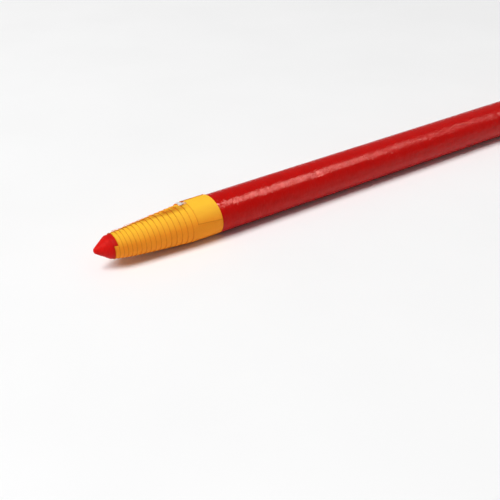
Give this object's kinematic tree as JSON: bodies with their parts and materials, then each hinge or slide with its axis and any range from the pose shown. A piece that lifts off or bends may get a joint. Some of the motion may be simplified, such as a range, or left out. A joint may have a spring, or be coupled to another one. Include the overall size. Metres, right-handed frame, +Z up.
{
  "type": "china marker",
  "caption": "Paper-wrapped wax marking pencil with a stepped peel-off nose, a plain collar, a lacquered barrel and a pull string.",
  "frame": {"origin": "on the surface that the marker lies on, under the middle of its length", "axes": "+X along the marker from the wax point to the tail, +Z up, +Y to the back"},
  "size_m": [0.178, 0.009, 0.009],
  "materials": {
    "wax": "satin wax",
    "paper": "matt dyed paper",
    "lacquered_paper": "glossy lacquer over paper",
    "string": "cotton thread"
  },
  "bodies": {
    "barrel": {"wax_core": "wax", "peel_band_02": "paper", "peel_band_03": "paper", "peel_band_04": "paper", "peel_band_05": "paper", "peel_band_06": "paper", "peel_band_07": "paper", "peel_band_08": "paper", "peel_band_09": "paper", "peel_band_10": "paper", "peel_band_11": "paper", "peel_band_12": "paper", "peel_band_13": "paper", "peel_band_14": "paper", "peel_band_15": "paper", "peel_band_16": "paper", "peel_band_17": "paper", "peel_band_18": "paper", "peel_band_19": "paper", "peel_band_20": "paper", "peel_band_21": "paper", "peel_band_22": "paper", "peel_band_23": "paper", "peel_band_24": "paper", "tail_wrap": "paper", "barrel_cover": "lacquered_paper", "pull_string": "string"},
    "front_band": {"peel_band_01": "paper"},
    "string_end": {"string_tail": "string"}
  },
  "joints": [
    {"name": "string_pull", "type": "hinge", "parent": "barrel", "child": "string_end", "pos_m": [-0.0608, 0.00168, 0.00827], "axis": [0, 0.9135, -0.4067], "range_deg": [0, 120]},
    {"name": "band_peel", "type": "slide", "parent": "barrel", "child": "front_band", "axis": [-1, 0, 0], "range_m": [0, 0.032]}
  ]
}
